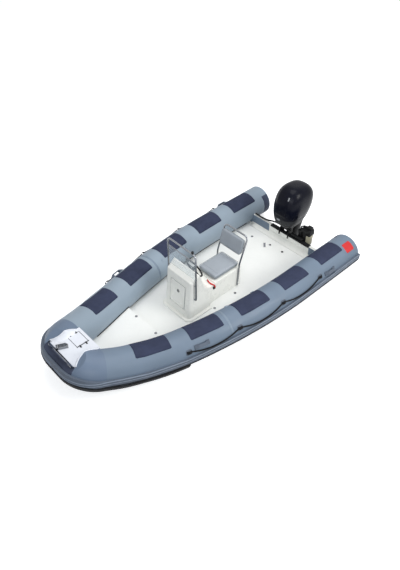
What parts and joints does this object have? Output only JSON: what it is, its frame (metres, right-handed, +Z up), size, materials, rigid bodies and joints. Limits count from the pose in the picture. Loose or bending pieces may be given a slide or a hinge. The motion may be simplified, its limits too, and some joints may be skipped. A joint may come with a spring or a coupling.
{
  "type": "rigid inflatable boat with outboard engine",
  "caption": "Small open rigid inflatable boat with air tube collar, V hull, centre console, seat with backrest, lifting lids and a tilting, steering outboard engine.",
  "frame": {"origin": "at the waterline, on the centreline amidships", "axes": "+X towards the bow, +Y to port, +Z up"},
  "size_m": [4.8145, 2.386, 1.8528],
  "materials": {
    "black_plastic": "black moulded plastic",
    "canister": "gray-olive paint",
    "cast_block": "bare casting",
    "clear_screen": "clear acrylic",
    "cushion": "light gray vinyl",
    "dark_trim": "matt dark rubber",
    "engine_dark": "satin black",
    "engine_gloss": "gloss black",
    "gelcoat": "glossy white moulded gelcoat",
    "grip_patch": "matt non-slip patch, dark navy gray",
    "red_plastic": "red plastic",
    "rope": "black braided rope",
    "stainless": "polished stainless steel",
    "strake": "satin gray rubbing strake",
    "tube_fabric": "satin coated fabric, gray-blue"
  },
  "bodies": {
    "boat": {"backrest_frame": "stainless", "backrest_pad": "cushion", "bow_guard": "dark_trim", "bow_roller": "stainless", "carry_handles": "strake", "console": "gelcoat", "control_cable": "black_plastic", "deck_fittings": "stainless", "end_cap_port": "dark_trim", "end_cap_starboard": "dark_trim", "engine_bracket": "engine_dark", "filter_canister": "canister", "filter_head": "black_plastic", "forward_platform": "gelcoat", "gauges": "black_plastic", "helm_hub": "black_plastic", "hull": "gelcoat", "kill_switch": "red_plastic", "lifeline_port": "rope", "lifeline_starboard": "rope", "nav_light": "black_plastic", "nose_step": "gelcoat", "nose_trim": "stainless", "patches_port": "grip_patch", "patches_starboard": "grip_patch", "rope_tabs": "dark_trim", "screen_frame": "stainless", "seat_box": "gelcoat", "stern_eyes": "stainless", "strake_bow": "strake", "strake_port": "strake", "strake_starboard": "strake", "throttle": "black_plastic", "tow_eye": "stainless", "transom": "gelcoat", "transom_cap": "black_plastic", "transom_gussets": "tube_fabric", "tube_bow": "tube_fabric", "tube_port": "tube_fabric", "tube_starboard": "tube_fabric", "valves": "black_plastic", "windscreen": "clear_screen"},
    "console_door": {"console_door": "gelcoat"},
    "locker_lid": {"locker_lid": "gelcoat"},
    "seat": {"seat_lid": "gelcoat", "seat_cushion": "cushion"},
    "wheel": {"steering_wheel": "black_plastic"},
    "tilt": {"engine_swivel": "engine_dark"},
    "engine": {"engine_leg": "engine_dark", "lower_cowl": "engine_dark", "engine_cowl": "engine_gloss", "powerhead": "cast_block"},
    "propeller": {"propeller": "stainless"}
  },
  "joints": [
    {"name": "console_door_hinge", "type": "hinge", "parent": "boat", "child": "console_door", "pos_m": [0.34093, -0.162, 0.40021], "axis": [0.1055, 0, -0.9944], "range_deg": [0, 100]},
    {"name": "locker_lid_hinge", "type": "hinge", "parent": "boat", "child": "locker_lid", "pos_m": [1.835, 0.032, 0.602], "axis": [-1, 0, 0], "range_deg": [0, 95]},
    {"name": "seat_hinge", "type": "hinge", "parent": "boat", "child": "seat", "pos_m": [-0.198, 0, 0.3925], "axis": [0, 1, 0], "range_deg": [0, 75]},
    {"name": "engine_tilt", "type": "hinge", "parent": "boat", "child": "tilt", "pos_m": [-1.99, 0, 0.325], "axis": [0, 1, 0], "range_deg": [-4, 60]},
    {"name": "engine_steer", "type": "hinge", "parent": "tilt", "child": "engine", "pos_m": [-2.105, 0, 0.13], "axis": [0, 0, 1], "range_deg": [-30, 30]},
    {"name": "propeller_spin", "type": "hinge", "parent": "engine", "child": "propeller", "pos_m": [-2.37, 0, -0.43], "axis": [1, 0, 0], "continuous": true},
    {"name": "wheel_turn", "type": "hinge", "parent": "boat", "child": "wheel", "pos_m": [0.105, 0, 0.6475], "axis": [-0.9565, 0, 0.2918], "range_deg": [-540, 540]}
  ],
  "couplings": [
    {"joint": "wheel_turn", "follows": "engine_steer", "ratio": -18}
  ]
}
